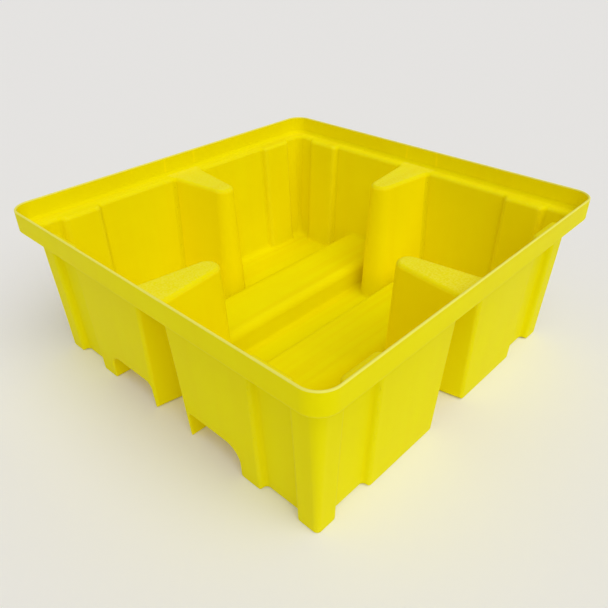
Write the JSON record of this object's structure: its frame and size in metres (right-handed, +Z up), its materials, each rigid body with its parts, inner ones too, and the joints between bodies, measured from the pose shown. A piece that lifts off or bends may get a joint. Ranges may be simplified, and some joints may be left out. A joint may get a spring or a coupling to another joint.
{
  "type": "spill containment pallet",
  "caption": "Square open moulded sump base with a raised rim, deck ledge, hollow wall buttresses, wall flutes and two fork tunnels.",
  "frame": {"origin": "centre of the square footprint, on the ground", "axes": "+Z up; X across the two fork tunnels, Y along them, front at -Y"},
  "size_m": [1.3, 1.3, 0.525],
  "materials": {
    "polyethylene": "satin"
  },
  "bodies": {
    "root": {"rim_front": "polyethylene", "rim_right": "polyethylene", "rim_back": "polyethylene", "rim_left": "polyethylene", "rim_corner_front_right": "polyethylene", "rim_corner_back_right": "polyethylene", "rim_corner_back_left": "polyethylene", "rim_corner_front_left": "polyethylene", "ledge_front": "polyethylene", "ledge_right": "polyethylene", "ledge_back": "polyethylene", "ledge_left": "polyethylene", "corner_front_right": "polyethylene", "corner_back_right": "polyethylene", "corner_back_left": "polyethylene", "corner_front_left": "polyethylene", "wall_front_left": "polyethylene", "wall_front_right": "polyethylene", "wall_right_front": "polyethylene", "wall_right_back": "polyethylene", "wall_back_right": "polyethylene", "wall_back_left": "polyethylene", "wall_left_back": "polyethylene", "wall_left_front": "polyethylene", "flute_front_left": "polyethylene", "flute_front_right": "polyethylene", "flute_right_front": "polyethylene", "flute_right_back": "polyethylene", "flute_back_right": "polyethylene", "flute_back_left": "polyethylene", "flute_left_back": "polyethylene", "flute_left_front": "polyethylene", "buttress_front": "polyethylene", "buttress_right": "polyethylene", "buttress_back": "polyethylene", "buttress_left": "polyethylene", "tunnel_left": "polyethylene", "tunnel_right": "polyethylene", "floor_front_right": "polyethylene", "floor_back_right": "polyethylene", "floor_back_left": "polyethylene", "floor_front_left": "polyethylene", "floor_middle": "polyethylene"}
  },
  "joints": []
}
